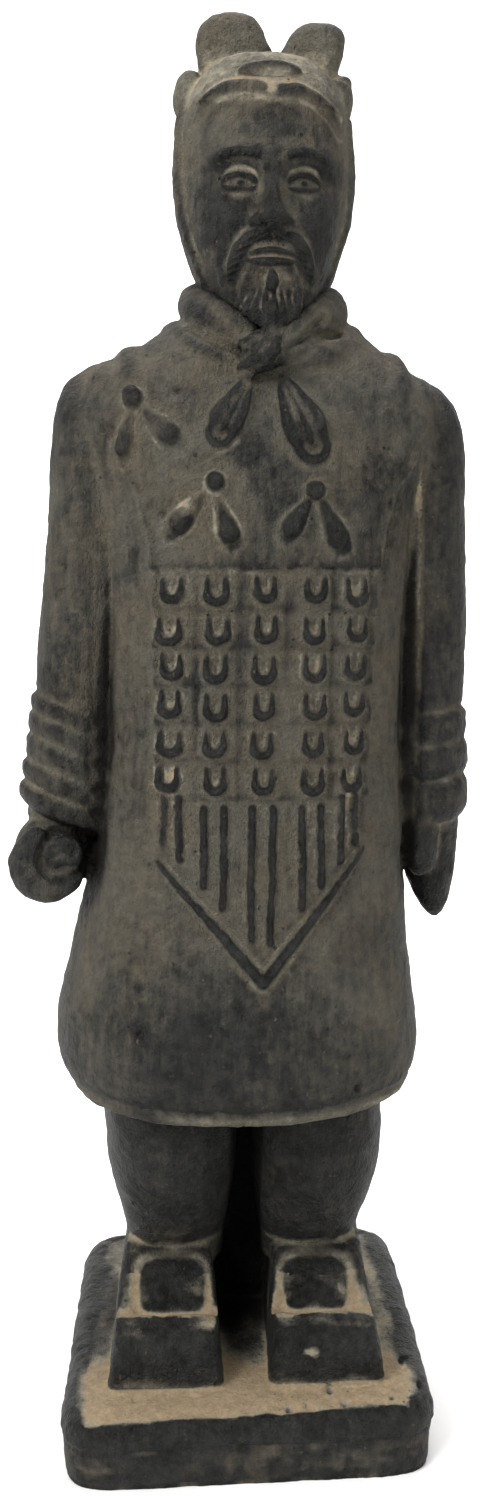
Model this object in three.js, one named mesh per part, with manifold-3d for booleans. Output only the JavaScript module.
// Terracotta warrior: an officer standing on a square slab, moulded and fired in one piece.
// Millimetres, +Z up. The figure faces -Y, its left hand is at +X, and z = 0 is the slab's underside.
// Every form is first made upright about x = 0. stand() then gives the figure its twist and lean.
import * as THREE from "three";
import { mergeVertices } from "three/addons/utils/BufferGeometryUtils.js";
import Module from "manifold-3d";

const wasm = await Module();
wasm.setup();
const { degToRad, lerp, smoothstep, clamp } = THREE.MathUtils;

// Driving dimensions
const SLAB = {
  width: 105, front: 57, back: 58.5, centreX: 0.5,
  cornerSquareness: 9.5, frontSkew: 2.2, tilt: 0.9,
};
const POSE = {
  twist: 3.5, leanPerMm: 0.019, leanFrom: 40,
  sway: 3.2, swayAt: 125, swayReach: 34, shoulders: 0.035,
};
const PANEL = { top: 247.5, bottom: 167, tip: 135.4, halfTop: 30.6, halfBottom: 28.5 };
const LACING = {
  columns: [-25.5, -13.5, -0.6, 13, 24.2], rows: 6, topRow: 242.4, rowPitch: 10.25,
  width: 4.8, drop: 5.8, bead: 2.1, height: 1.1,
};

// ---- Building closed solids ----

// A closed surface through rings of points, with a fan over each end.
function loft(rings) {
  const count = rings[0].length;
  const points = rings.flat();
  const middle = (ring) => ring.reduce((sum, p) => sum.add(p), new THREE.Vector3()).divideScalar(count);
  const first = points.push(middle(rings[0])) - 1;
  const last = points.push(middle(rings[rings.length - 1])) - 1;
  const index = [];
  for (let i = 0; i < count; i++) {
    const next = (i + 1) % count;
    for (let r = 0; r + 1 < rings.length; r++) {
      const a = r * count;
      const b = a + count;
      index.push(a + i, a + next, b + next, a + i, b + next, b + i);
    }
    const top = (rings.length - 1) * count;
    index.push(first, next, i, last, top + i, top + next);
  }
  return new THREE.BufferGeometry().setFromPoints(points).setIndex(index);
}

// A closed geometry as a solid, turned right way out.
function solid(geometry) {
  const bare = geometry.index ? geometry.clone() : geometry;
  bare.deleteAttribute("normal");
  bare.deleteAttribute("uv");
  const merged = mergeVertices(bare, 1e-4);
  const vertProperties = new Float32Array(merged.attributes.position.array);
  const triVerts = new Uint32Array(merged.index.array);
  const made = new wasm.Manifold(new wasm.Mesh({ numProp: 3, vertProperties, triVerts }));
  if (made.volume() > 0) return made;
  for (let i = 0; i < triVerts.length; i += 3) {
    [triVerts[i + 1], triVerts[i + 2]] = [triVerts[i + 2], triVerts[i + 1]];
  }
  return new wasm.Manifold(new wasm.Mesh({ numProp: 3, vertProperties, triVerts }));
}

const join = (solids) => solids.reduce((whole, next) => whole.add(next));

// Values between stations [z, ...values], on a smooth curve through them.
function profile(stations) {
  const size = stations[0].length - 1;
  const heights = stations.map((s) => s[0]);
  const curve = new THREE.CubicInterpolant(heights, stations.flatMap((s) => s.slice(1)), size);
  return (z) => Array.from(curve.evaluate(clamp(z, heights[0], heights[heights.length - 1])));
}

// A level ring with |x/a|^n + |y/b|^n = 1, b changing from front (-Y) to back.
function ring(count, z, halfWidth, front, back, squareness, centreX = 0, centreY = 0, tilt = 0) {
  return Array.from({ length: count }, (_, i) => {
    const angle = (2 * Math.PI * i) / count;
    const power = (value) => Math.sign(value) * Math.abs(value) ** (2 / squareness);
    const x = halfWidth * power(Math.cos(angle));
    const s = power(Math.sin(angle));
    const y = (s < 0 ? front : back) * s;
    return new THREE.Vector3(centreX + x, centreY + y, z + tilt * x);
  });
}

// An ellipsoid with few faces, of radii rx, ry, rz, turned by angles in degrees.
function blob(centre, radii, turn = [0, 0, 0], around = 10, rows = 7) {
  const shape = new THREE.SphereGeometry(1, around, rows).rotateX(Math.PI / 2).scale(...radii);
  shape.rotateX(degToRad(turn[0])).rotateY(degToRad(turn[1])).rotateZ(degToRad(turn[2]));
  return solid(shape.translate(...centre));
}

// A tapering roll along a smooth curve through points, radius[i] at point i.
function roll(points, radii, sides = 7, steps = 8, flat = 1) {
  const curve = new THREE.CatmullRomCurve3(points.map((p) => new THREE.Vector3(...p)));
  const frames = curve.computeFrenetFrames(steps, false);
  const rings = Array.from({ length: steps + 1 }, (_, i) => {
    const centre = curve.getPointAt(i / steps);
    const place = (i / steps) * (radii.length - 1);
    const at = Math.min(Math.floor(place), radii.length - 2);
    const radius = lerp(radii[at], radii[at + 1], place - at);
    return Array.from({ length: sides }, (_, k) => {
      const angle = (2 * Math.PI * k) / sides;
      return centre
        .clone()
        .addScaledVector(frames.normals[i], radius * Math.cos(angle))
        .addScaledVector(frames.binormals[i], radius * flat * Math.sin(angle));
    });
  });
  return solid(loft(rings));
}

// How much of the pose a height takes, none at the slab and all of it above the knees.
const footing = (z) => smoothstep(z, 30, 100);

// The hips are pushed to -X. What hangs straight on the coat is moved back by the same amount.
const hipSway = (z) => POSE.sway * footing(z) * Math.exp(-(((z - POSE.swayAt) / POSE.swayReach) ** 2));

// ---- Slab ----

// Height and inset of the slab's edge, from its underside to its top
const SLAB_EDGE = [[0, 0.9], [2.5, 0.2], [13, 0], [16, 0.8], [18.2, 2.6], [19.5, 5.2], [20, 8.5]];

// The front slants back towards +X, where the top also stands a little higher.
function slab() {
  const { width, centreX, front, back, cornerSquareness, frontSkew, tilt } = SLAB;
  const top = SLAB_EDGE[SLAB_EDGE.length - 1][0];
  const rings = SLAB_EDGE.map(([z, inset]) =>
    ring(24, z, width / 2 - inset, front - inset, back - inset, cornerSquareness, centreX),
  );
  for (const point of rings.flat()) {
    const share = clamp((2 * point.x) / width, -1, 1);
    if (point.y < 0) point.y *= 1 - (frontSkew / front) * share;
    point.z *= 1 + (tilt / top) * share;
  }
  return solid(loft(rings));
}

// ---- Legs and shoes ----

// z, half width, half depth, offset from the middle line, offset in y
const TROUSER = profile([
  [34, 14.2, 12, 20.2, 5], [44, 14.8, 13.6, 20, 5], [50, 15.7, 16, 20.2, 4.4], [58, 17.2, 19, 20.9, 3],
  [70, 18.9, 22.2, 21.4, 1], [82, 19.8, 24, 21.7, 0], [104, 20.4, 25, 22, 0],
]);

function leg(side) {
  const rings = [40, 46, 52, 60, 72, 86, 104].map((z) => {
    const [width, depth, out, forward] = TROUSER(z);
    return ring(12, z, width, depth, depth, 2.6, side * out, forward);
  });
  return solid(loft(rings));
}

// Web of clay that closes the gap between the legs behind their middle.
const legWeb = () => solid(new THREE.BoxGeometry(16, 14, 94).translate(0, 14, 60));

// A square toe, a ledge behind it and a padded instep up to the ankle.
function shoe(side) {
  const SHOE = { width: 32.5, bevel: 2.4, toe: -42, toeTop: 34.5, ankle: 46, heel: 31, offset: 22.6 };
  const outline = new THREE.Shape();
  outline.moveTo(SHOE.toe + 1, 10);
  outline.quadraticCurveTo(SHOE.toe - 0.6, 27, SHOE.toe + 3.5, SHOE.toeTop);
  outline.lineTo(-29.5, SHOE.toeTop + 1.6);
  outline.lineTo(-27.4, SHOE.toeTop - 1.6);
  outline.quadraticCurveTo(-18, 37, -7, SHOE.ankle);
  outline.lineTo(12, SHOE.ankle);
  outline.quadraticCurveTo(SHOE.heel - 3, SHOE.ankle, SHOE.heel, 10);
  const depth = SHOE.width - 2 * SHOE.bevel;
  const bevel = { bevelThickness: SHOE.bevel, bevelSize: SHOE.bevel, bevelOffset: -SHOE.bevel };
  const sweep = { depth, steps: 1, curveSegments: 3, bevelSegments: 1, ...bevel };
  const block = new THREE.ExtrudeGeometry(outline, sweep);
  block.translate(0, 0, -depth / 2).rotateX(Math.PI / 2).rotateZ(Math.PI / 2);
  const position = block.attributes.position;
  for (let i = 0; i < position.count; i++) {
    const [y, z] = [position.getY(i), position.getZ(i)];
    const narrowing = 1 - 0.006 * Math.max(0, z - 20) - 0.0016 * Math.max(0, y + 20);
    position.setX(i, position.getX(i) * narrowing + side * SHOE.offset);
  }
  const PAD = { halfWidth: 9.6, halfLength: 8.8, squareness: 4, tilt: 36, at: [21.2, -18.4, 37.2] };
  const pad = [[-4, 0.98], [0.6, 0.98], [1.8, 0.86], [2.3, 0.6]].map(([z, share]) =>
    ring(12, z, PAD.halfWidth * share, PAD.halfLength * share, PAD.halfLength * share, PAD.squareness),
  );
  const instep = loft(pad).rotateX(degToRad(PAD.tilt)).translate(side * PAD.at[0], PAD.at[1], PAD.at[2]);
  return join([solid(block), solid(instep)]);
}

// ---- Coat ----

// z, half width, front, back
const COAT_PROFILE = profile([
  [93.5, 45.5, 35, 33], [95, 49, 38.8, 36.5], [98, 51.2, 40.6, 38], [103, 52.9, 41.7, 39], [109, 53.6, 42, 39.5],
  [120, 52.8, 41.4, 39.2], [136, 50, 40, 38.2], [156, 47, 38, 36.6], [182, 44.2, 35.6, 34.8], [215, 42.8, 33.6, 33.4],
  [248, 43.8, 33, 33], [266, 46.6, 32, 31.5], [281, 50.6, 30.4, 30], [291, 52.2, 28.4, 28.6], [298, 49.6, 26, 27],
  [304, 42.6, 23.6, 25], [309.5, 33.2, 21, 23], [314.5, 26.5, 19, 21], [319, 20, 16, 18],
]);
const COAT_SQUARENESS = 2.5;
const HEM_LIFT = 3.4;

function coat() {
  const heights = [93.5, 95, 98, 104, 114, 130, 150, 175, 205, 236, 260, 278, 290, 298, 304, 310, 316];
  const rings = heights.map((z) => ring(24, z, ...COAT_PROFILE(z), COAT_SQUARENESS));
  for (const point of rings.flat()) {
    point.z += HEM_LIFT * (point.x / 52) ** 2 * (1 - smoothstep(point.z, 93, 126));
  }
  return solid(loft(rings));
}

// A point on the front of the coat, moved out along the surface's normal.
function onCoat(x, z, out = 0) {
  const depthAt = (px, pz) => {
    const [halfWidth, front] = COAT_PROFILE(pz);
    return -front * (1 - Math.min(0.999, Math.abs(px / halfWidth)) ** COAT_SQUARENESS) ** (1 / COAT_SQUARENESS);
  };
  const step = 0.5;
  const slopeX = (depthAt(x + step, z) - depthAt(x - step, z)) / (2 * step);
  const slopeZ = (depthAt(x, z + step) - depthAt(x, z - step)) / (2 * step);
  const normal = new THREE.Vector3(slopeX, -1, slopeZ).normalize();
  return { point: new THREE.Vector3(x, depthAt(x, z), z).addScaledVector(normal, out), normal };
}

const offset = (point, across, side, normal, out) =>
  point.clone().addScaledVector(across, side).addScaledVector(normal, out);

// A raised bead on the coat along points [x, z, width, height], hanging straight where the hips sway.
function bead(path) {
  const places = path.map(([x, z]) => onCoat(x + hipSway(z), z));
  const rings = path.map(([, , width, height], i) => {
    const before = places[Math.max(0, i - 1)].point;
    const after = places[Math.min(path.length - 1, i + 1)].point;
    const { point, normal } = places[i];
    const across = after.clone().sub(before).cross(normal).normalize();
    const section = [[-0.62, -0.7], [0, height], [0.62, -0.7]];
    return section.map(([side, out]) => offset(point, across, side * width, normal, out));
  });
  return solid(loft(rings));
}

// A raised petal on the coat, narrow at its start and round at its end.
function petal(from, to, width, height) {
  const outline = [[0, 0.24], [0.4, 0.68], [0.8, 1], [1, 0.42]];
  const axis = new THREE.Vector2(to[0] - from[0], to[1] - from[1]);
  const along = axis.clone().normalize();
  const rings = outline.map(([t, share]) => {
    const half = (width / 2) * share;
    const rise = height * Math.sqrt(share);
    const { point, normal } = onCoat(from[0] + axis.x * t, from[1] + axis.y * t);
    const across = new THREE.Vector3(along.y, 0, -along.x);
    across.addScaledVector(normal, -across.dot(normal)).normalize();
    const section = [[-1, -1], [-0.56, rise], [0.56, rise], [1, -1]];
    return section.map(([side, out]) => offset(point, across, side * half, normal, out));
  });
  return solid(loft(rings));
}

const knob = (x, z, radius) => {
  const centre = onCoat(x, z, radius * 0.25).point.toArray();
  return blob(centre, [radius, radius * 0.9, radius], [0, 0, 0], 7, 5);
};

// Knotted cords on the chest: a knob, its radius, and two tassels, each from, to and width.
const CHEST_BOWS = [
  {
    at: [-36.2, 291.3], radius: 2.7,
    tassels: [[[-36.8, 288], [-39.8, 276.2], 5.6], [[-33.4, 288.4], [-24.6, 280], 7]],
  },
  {
    at: [-14.4, 270.2], radius: 2.6,
    tassels: [[[-17.4, 267], [-25.8, 257.2], 6.4], [[-13.6, 265.6], [-9.8, 254.4], 6]],
  },
  {
    at: [12.6, 268.4], radius: 2.6,
    tassels: [[[10.8, 265.4], [4.8, 256.4], 6.2], [[14.4, 265.4], [19.8, 253.4], 6.8]],
  },
];

const chestBows = () =>
  CHEST_BOWS.flatMap(({ at, radius, tassels }) => [
    knob(...at, radius),
    ...tassels.map(([from, to, width]) => petal(from, to, width, 2.2)),
  ]);

// One plate's lacing: a raised U.
function lacingLoop(x, z) {
  const outline = [[-0.5, 0.55], [-0.36, -0.5], [0.36, -0.5], [0.5, 0.55]];
  return bead(
    outline.map(([across, up]) => [x + across * LACING.width, z + up * LACING.drop, LACING.bead, LACING.height]),
  );
}

// Straight bars under the lacing, in pairs, that stop short of the panel's pointed lower edge.
const FRINGE = { pairGap: 2.7, top: 184.6, clear: 6.9, width: 2.1, height: 1.15 };

function armourPanel() {
  const { top, bottom, tip, halfTop, halfBottom } = PANEL;
  const pieces = [];
  for (const x of LACING.columns) {
    for (let row = 0; row < LACING.rows; row++) pieces.push(lacingLoop(x, LACING.topRow - row * LACING.rowPitch));
    for (const side of [-1, 1]) {
      const barX = x + side * FRINGE.pairGap;
      const end = lerp(bottom, tip, 1 - Math.abs(barX) / halfBottom) + FRINGE.clear;
      const middle = (FRINGE.top + end) / 2;
      pieces.push(bead([FRINGE.top, middle, end].map((z) => [barX, z, FRINGE.width, FRINGE.height])));
    }
  }
  const across = [-halfTop, -halfBottom / 2, halfBottom / 2, halfTop];
  pieces.push(bead(across.map((x, i) => [x, i % 3 ? top - 0.9 : top, 1.6, 1.1])));
  for (const side of [-1, 1]) {
    const edge = [[halfTop, top, 1.4, 0.9], [29.6, 212, 1.4, 0.9], [halfBottom, bottom + 14, 1.4, 0.8]];
    const flare = [[halfTop, top, 1.4, 0.8], [33, 259, 1.4, 0.8], [36, 270, 1.4, 0.5]];
    const point = [[halfBottom, bottom, 1.6, 0.8], [14, lerp(bottom, tip, 0.52), 3, 1.3], [0, tip, 3.6, 1.5]];
    for (const path of [edge, flare, point]) pieces.push(bead(path.map(([x, ...rest]) => [side * x, ...rest])));
  }
  return pieces;
}

// ---- Scarf ----

// Each line of cloth runs from the nape over the left shoulder to the front, and is mirrored for the right.
const SCARF = {
  lower: [
    [0, 21.6, 316], [17.6, 17, 315], [23.4, 2, 312.2],
    [23.2, -11.4, 308.6], [15.6, -20.8, 304.6], [5.4, -24, 301.2],
  ],
  upper: [
    [0, 17, 325.6], [14.8, 13, 325], [19, 0, 322.1],
    [18, -12, 317.2], [11.6, -20.8, 311.4], [4.6, -23.8, 306],
  ],
  radius: [4.7, 4.5],
  taper: [0.36, 0.82, 1, 1, 1, 1, 1, 1, 1, 0.82, 0.36],
  knot: [-1, 302.4],
  ends: [[[-4.8, 299], [-13.4, 282.8], 9.4], [[3, 299.6], [11.8, 280.4], 12.6]],
};

// Two rolls of cloth round the neck come down to a knot in front, with its two ends hanging below.
function scarf() {
  const wholeLine = (half) => [...half.slice(1).reverse().map(([x, y, z]) => [-x, y, z]), ...half];
  const lines = [wholeLine(SCARF.lower), wholeLine(SCARF.upper)];
  const wraps = lines.map((line, i) => {
    const radii = SCARF.taper.map((share) => share * SCARF.radius[i]);
    return roll(line, radii, 6, 12, 1.1);
  });
  const collar = solid(loft(lines.map((line) => line.map((point) => new THREE.Vector3(...point)))));
  const knot = onCoat(...SCARF.knot, 2.6).point;
  const strands = [-1, 1].map((step) =>
    blob([knot.x + step * 0.6, knot.y - 0.4, knot.z + step * 2.2], [6.4, 3.6, 3], [0, -24, 0], 8, 5),
  );
  return [collar, ...wraps, ...strands, ...SCARF.ends.map(([from, to, width]) => petal(from, to, width, 3.9))];
}

// ---- Arms ----

// z, half width, half depth, offset from the middle line, offset in y
const SLEEVE = profile([
  [172, 11.6, 13.4, 50, -1], [196, 11.8, 15, 49.8, 0], [214, 12.2, 16.2, 49.8, 1.5], [240, 12.4, 17.2, 49.2, 2],
  [264, 12.4, 16.6, 48, 1.5], [282, 12.6, 15, 46.8, 1], [293, 11.4, 12.8, 46.2, 1], [299, 8, 9, 46, 1],
  [302, 3.4, 4, 46, 1],
]);

// Creases are the heights between turned-back cuff rolls, lowest first, and swell is how far the lowest and the
// highest roll stand out. Swing moves the wrist outward, shrug the whole arm, and tilt slopes the creases.
const RIGHT_SLEEVE = {
  side: -1, creases: [175.4, 182.2, 188.8, 196.2, 202.6, 208],
  swell: [3.2, 1.2], swing: 2.6, tilt: 0.4, shrug: -0.9,
};
const LEFT_SLEEVE = {
  side: 1, creases: [174, 186.6, 196.8, 206.4],
  swell: [2.4, 1.2], swing: 0.8, tilt: 0.13, shrug: 0.7,
};

function sleeve({ side, creases, swing, tilt, swell, shrug }) {
  const rings = [];
  const add = (z, fuller) => {
    const [width, depth, out, forward] = SLEEVE(z);
    const away = swing * clamp((240 - z) / 60, 0, 1) + shrug * smoothstep(z, 205, 250);
    const slope = side * tilt * (1 - smoothstep(z, 230, 290));
    const reach = depth + fuller;
    rings.push(ring(12, z, width + fuller, reach, reach, 2.3, side * (out + away), forward, slope));
  };
  add(creases[0] - 1.2, -5);
  for (let i = 0; i + 1 < creases.length; i++) {
    const [low, high] = [creases[i], creases[i + 1]];
    const size = lerp(swell[0], swell[1], i / (creases.length - 2));
    add(low, 0);
    add(lerp(low, high, 0.22), 0.9 * size);
    add(lerp(low, high, 0.78), 0.9 * size);
  }
  add(creases[creases.length - 1], -0.5);
  for (const z of [creases[creases.length - 1] + 3, 236, 260, 279, 290, 297, 302]) add(z, 0);
  return solid(loft(rings));
}

// The right hand: a fist closed round a broken stub of shaft.
const FIST = { centre: [-57, -6, 166.2], ring: 7.4, stub: [-53.8, -18.6, 168.2] };

function fist() {
  const { centre, ring: reach, stub } = FIST;
  const palm = blob(centre, [11.6, 12.5, 11.6], [0, 0, 0], 9, 6);
  const wrist = roll([[-53.4, -1, 186], [-54.6, -3, 177], [-56, -5, 168.6]], [9.4, 10.8, 10], 8, 3);
  const heel = roll([[-50, -2, 172], [-48.6, -3, 163], [-48.8, -3, 157.6]], [7, 7, 4.6], 7, 3);
  const curl = Array.from({ length: 10 }, (_, i) => {
    const turn = degToRad(28 * i);
    const angle = degToRad(100) + turn;
    const forward = 11.4 + 1.2 * Math.sin(turn / 2);
    return [centre[0] + reach * Math.cos(angle), centre[1] - forward, centre[2] + reach * Math.sin(angle)];
  });
  const fingers = roll(curl, [3, 4, 4.6, 4.8, 4.8, 4.8, 4.6, 4.2, 3.6, 2.6], 6, 9);
  return [palm, wrist, heel, fingers, blob(stub, [5.6, 4.4, 4.9], [0, -18, 0], 8, 5)];
}

// The left hand hangs open: fingers together and running to a point, the thumb inside them against the coat.
function openHand() {
  const fingers = [[53.6, -3, 184], [54, -3, 170], [55.6, -3.5, 157.4], [57.4, -4, 148.4], [58.4, -4.2, 144.2]];
  const thumb = [[48.8, -8, 183], [49.2, -11.6, 172], [49.8, -12.6, 164.4], [50.4, -12, 158.6]];
  return [roll(fingers, [8.4, 8.3, 6.8, 3.9, 1.5], 8, 6), roll(thumb, [5.6, 5.4, 4.7, 3.1], 6, 4)];
}

// ---- Head ----

// z, half width, front, back
const SKULL = profile([
  [313.5, 7.5, 24.5, -12], [318, 12.2, 26.4, -3], [325, 16.2, 27, 8], [333, 19.2, 26.6, 15], [342, 21.9, 26, 20],
  [352, 23.2, 25.6, 23], [363, 23, 25, 24], [373, 22, 23.4, 23], [380.4, 19.2, 19.6, 20], [385.6, 13.6, 13.6, 15],
  [388, 7, 7, 9],
]);

function skull() {
  const heights = [313.5, 317, 323, 331, 342, 355, 368, 376.5, 383, 387.6];
  return solid(
    loft(
      heights.map((z) => {
        const [halfWidth, front, back] = SKULL(z);
        const half = (front + back) / 2;
        return ring(14, z, halfWidth, half, half, 2.25, 0, (back - front) / 2);
      }),
    ),
  );
}

// The front of the face at height z, off the middle line by x.
function onFace(x, z, out = 0) {
  const [halfWidth, front, back] = SKULL(z);
  const half = (front + back) / 2;
  return (back - front) / 2 - half * (1 - Math.min(0.99, Math.abs(x / halfWidth)) ** 2.25) ** (1 / 2.25) - out;
}

// Features on the plain proportions of a drawing manual: eyes half way up, the rest by thirds of what is below.
function face() {
  const FACE = { chin: 315, crown: 383, eyeWidth: 8.4 };
  const eyes = lerp(FACE.chin, FACE.crown, 0.5);
  const noseBase = eyes - 12;
  const mouth = lerp(noseBase, FACE.chin, 0.34);
  const brows = eyes + 6;
  const bridge = [[brows, -1], [eyes, 1.4], [noseBase + 2.6, 4]];
  const pieces = [
    roll(bridge.map(([z, out]) => [0, onFace(0, z, out), z]), [2.4, 2.6, 3.8], 6, 3),
    blob([0, onFace(0, noseBase, 1.6), noseBase + 1.8], [5.2, 3.6, 2.6], [0, 0, 0], 7, 5),
    blob([0, onFace(0, mouth, 0), mouth], [5.2, 2.2, 2.4], [0, 0, 0], 7, 5),
  ];
  for (const side of [-1, 1]) {
    const eyeX = side * FACE.eyeWidth;
    pieces.push(blob([eyeX, onFace(eyeX, eyes, -0.4), eyes], [4.2, 1.6, 2], [0, 0, 0], 7, 5));
    const brow = [3, 8.4, 13.6].map((x, i) => [side * x, onFace(x, brows, 0.1), brows + [0, 1.4, 0.2][i]]);
    pieces.push(roll(brow, [1.6, 2, 1.1], 5, 3));
    const tash = [[1.4, mouth + 5], [5.6, mouth + 4.2], [9, mouth + 0.6], [10.4, mouth - 4]];
    pieces.push(roll(tash.map(([x, z]) => [side * x, onFace(x, z, 0.5), z]), [1.4, 2, 1.7, 0.9], 5, 5));
  }
  return pieces;
}

// Goatee: locks of hair fanned to a point under the chin, and a small tuft under the lip.
function beard() {
  const pieces = [roll([[0, -26.6, 325], [0, -27.4, 322], [0, -27, 319]], [1.7, 2, 1.2], 5, 2)];
  for (const lock of [-2, -1, 0, 1, 2]) {
    const length = 4.2 - Math.abs(lock) * 1.3;
    const top = [lock * 4.3, onFace(lock * 4.3, 320 + Math.abs(lock), -0.4), 320.5 + Math.abs(lock) * 1.3];
    const foot = [lock * 1.6, -26 - length * 0.35, 313.5 - length];
    pieces.push(roll([top, [lock * 3.2, -27.4 + Math.abs(lock) * 0.9, 316.5], foot], [2, 2.7, 0.8], 4, 3));
  }
  return pieces;
}

// Each tall lobe of the cap: z, left edge and right edge
const CAP_LOBES = [
  [
    [373, -17.2, 6], [381, -17.6, 5], [388.6, -18.9, 3.2],
    [393.7, -19.2, 0.6], [397.4, -17.4, -1.8], [400.6, -11.8, -7],
  ],
  [[373, -3, 18], [380.6, -1.5, 18.4], [387.5, 1.5, 21.2], [392.2, 5, 22.2], [395.7, 7.4, 22], [398.6, 12, 18]],
];
const LOBE_DEPTH = [6.9, 6.6, 6.5, 6.2, 5, 2.2];

// Thick folds over the brow: points x, z from the middle outward
const CAP_FOLDS = [
  [[-3.4, 371.6], [-7, 373.7], [-11, 374.5], [-15.4, 373.9], [-19.2, 371.8]],
  [[1.4, 371.6], [5, 372.7], [8.8, 372.5], [12.6, 371.2], [16, 369.3]],
];

// Two tall lobes, two folds over the brow with a lens-shaped boss above, side knots, straps to the jaw and a bun.
function cap() {
  const pieces = CAP_LOBES.map((lobe) => {
    const rings = lobe.map(([z, left, right], i) =>
      ring(10, z, (right - left) / 2, LOBE_DEPTH[i], LOBE_DEPTH[i], 2.5, (left + right) / 2, 2),
    );
    return solid(loft(rings));
  });
  for (const fold of CAP_FOLDS) {
    const line = fold.map(([x, z]) => [x, onFace(x, z, -0.2), z]);
    pieces.push(roll(line, [1.1, 1.7, 1.8, 1.7, 1.2], 5, 5));
  }
  pieces.push(blob([-0.9, onFace(-0.9, 378, -0.4), 378], [8.4, 2.2, 1.9], [-22, 0, 0], 8, 5));
  for (const side of [-1, 1]) pieces.push(blob([side * 20.6, 3, 378], [4.8, 7, 7.2], [0, 0, 0], 7, 5));
  pieces.push(blob([22.4, 1, 382.6], [2.2, 3, 2], [0, 0, 0], 6, 4));
  // Straps: a band across the head from the jaw to the temple, z and its place in y
  const straps = [[322, -8], [330, -6], [339, -4], [354, -2], [372, 0]];
  pieces.push(solid(loft(straps.map(([z, y]) => ring(12, z, SKULL(z)[0] + 2.3, 8, 8, 3.4, 0, y)))));
  pieces.push(blob([0, 20, 354], [14, 8, 17], [0, 0, 0], 8, 5));
  return pieces;
}

// ---- Pose and assembly ----

// Turns and leans the upright figure and lowers its left shoulder, with the slab left as it is.
function stand(geometry) {
  const position = geometry.attributes.position;
  for (let i = 0; i < position.count; i++) {
    const [x, y, z] = [position.getX(i), position.getY(i), position.getZ(i)];
    const atShoulders = smoothstep(z, 258, 296) * (1 - smoothstep(z, 300, 318));
    const angle = degToRad(POSE.twist * footing(z));
    const lean = POSE.leanPerMm * Math.max(0, z - POSE.leanFrom) - hipSway(z);
    position.setX(i, x * Math.cos(angle) - y * Math.sin(angle) + lean);
    position.setY(i, x * Math.sin(angle) + y * Math.cos(angle));
    position.setZ(i, z - POSE.shoulders * x * atShoulders);
  }
  return geometry;
}

function geometryOf(made) {
  const { vertProperties, triVerts, numProp } = made.getMesh();
  const points = new Float32Array((vertProperties.length / numProp) * 3);
  for (let i = 0; i < points.length / 3; i++) {
    points.set(vertProperties.subarray(i * numProp, i * numProp + 3), i * 3);
  }
  const geometry = new THREE.BufferGeometry();
  geometry.setAttribute("position", new THREE.BufferAttribute(points, 3));
  return geometry.setIndex(new THREE.BufferAttribute(new Uint32Array(triVerts), 1));
}

const figure = join([
  slab(), shoe(-1), shoe(1), leg(-1), leg(1), legWeb(), coat(),
  ...chestBows(), ...armourPanel(), ...scarf(),
  sleeve(RIGHT_SLEEVE), sleeve(LEFT_SLEEVE),
  ...fist(), ...openHand(), skull(), ...face(), ...beard(), ...cap(),
]);

const clay = new THREE.MeshStandardMaterial({ color: 0x5a564e, roughness: 0.92, metalness: 0 });
const warrior = new THREE.Mesh(stand(geometryOf(figure)), clay);
warrior.name = "terracotta_warrior";

const statue = new THREE.Group();
statue.add(warrior);
export default statue;
